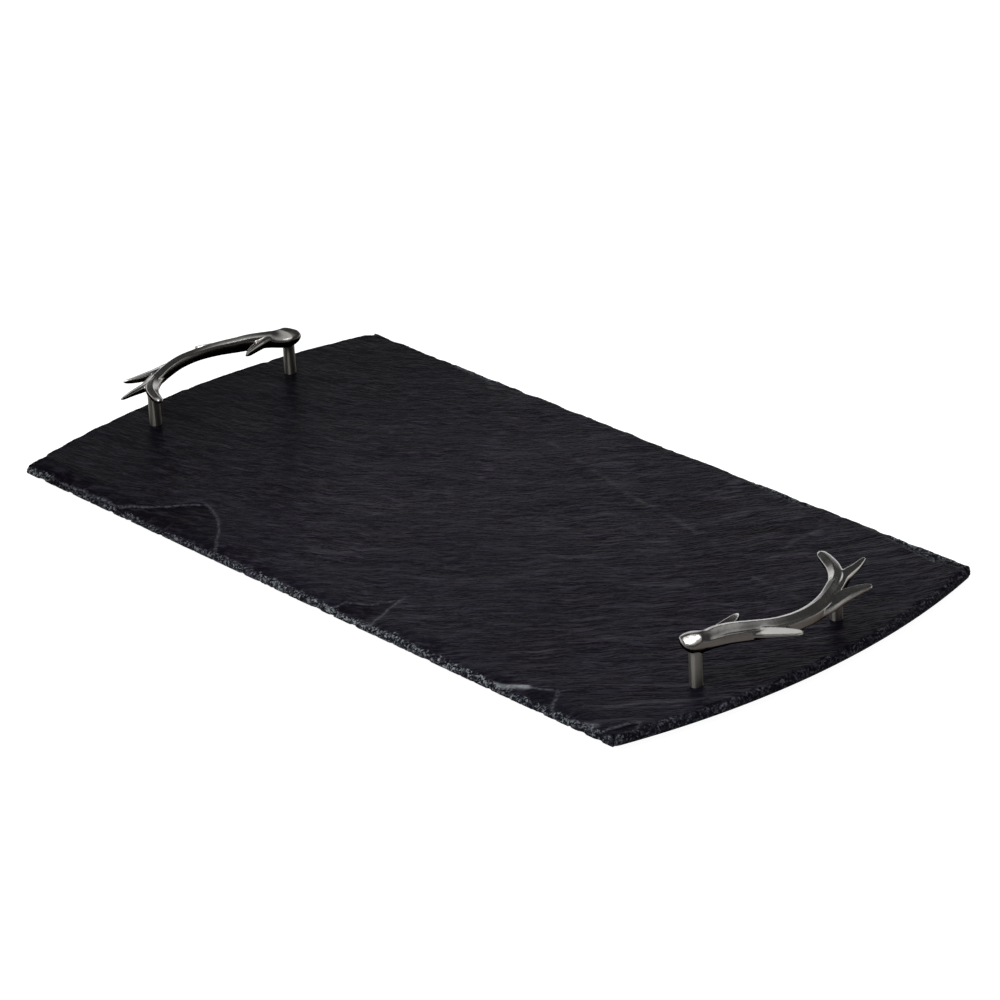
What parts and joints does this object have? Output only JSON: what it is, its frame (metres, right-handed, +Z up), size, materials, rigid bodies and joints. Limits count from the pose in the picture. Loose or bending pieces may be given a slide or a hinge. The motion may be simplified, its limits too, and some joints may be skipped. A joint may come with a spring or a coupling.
{
  "type": "slate serving board",
  "caption": "Rectangular riven slate serving board with bowed short ends, chipped edges and cast antler handles on round posts.",
  "frame": {"origin": "on the table, midway between the feet, below the middle of the board", "axes": "+X along the board's length toward the right antler, +Y across the board, +Z up"},
  "size_m": [0.602, 0.3, 0.0448],
  "materials": {
    "slate": "riven, satin",
    "antler_metal": "satin nickel on cast metal",
    "post_metal": "satin nickel, turned",
    "screw_metal": "zinc plated",
    "foot_rubber": "matt"
  },
  "bodies": {
    "root": {"slate_board": "slate", "left_antler": "antler_metal", "right_antler": "antler_metal", "left_burr_post": "post_metal", "left_crown_post": "post_metal", "right_burr_post": "post_metal", "right_crown_post": "post_metal", "left_burr_screw": "screw_metal", "left_crown_screw": "screw_metal", "right_burr_screw": "screw_metal", "right_crown_screw": "screw_metal", "left_burr_washer": "screw_metal", "left_crown_washer": "screw_metal", "right_burr_washer": "screw_metal", "right_crown_washer": "screw_metal", "left_near_foot": "foot_rubber", "left_far_foot": "foot_rubber", "right_near_foot": "foot_rubber", "right_far_foot": "foot_rubber"}
  },
  "joints": []
}
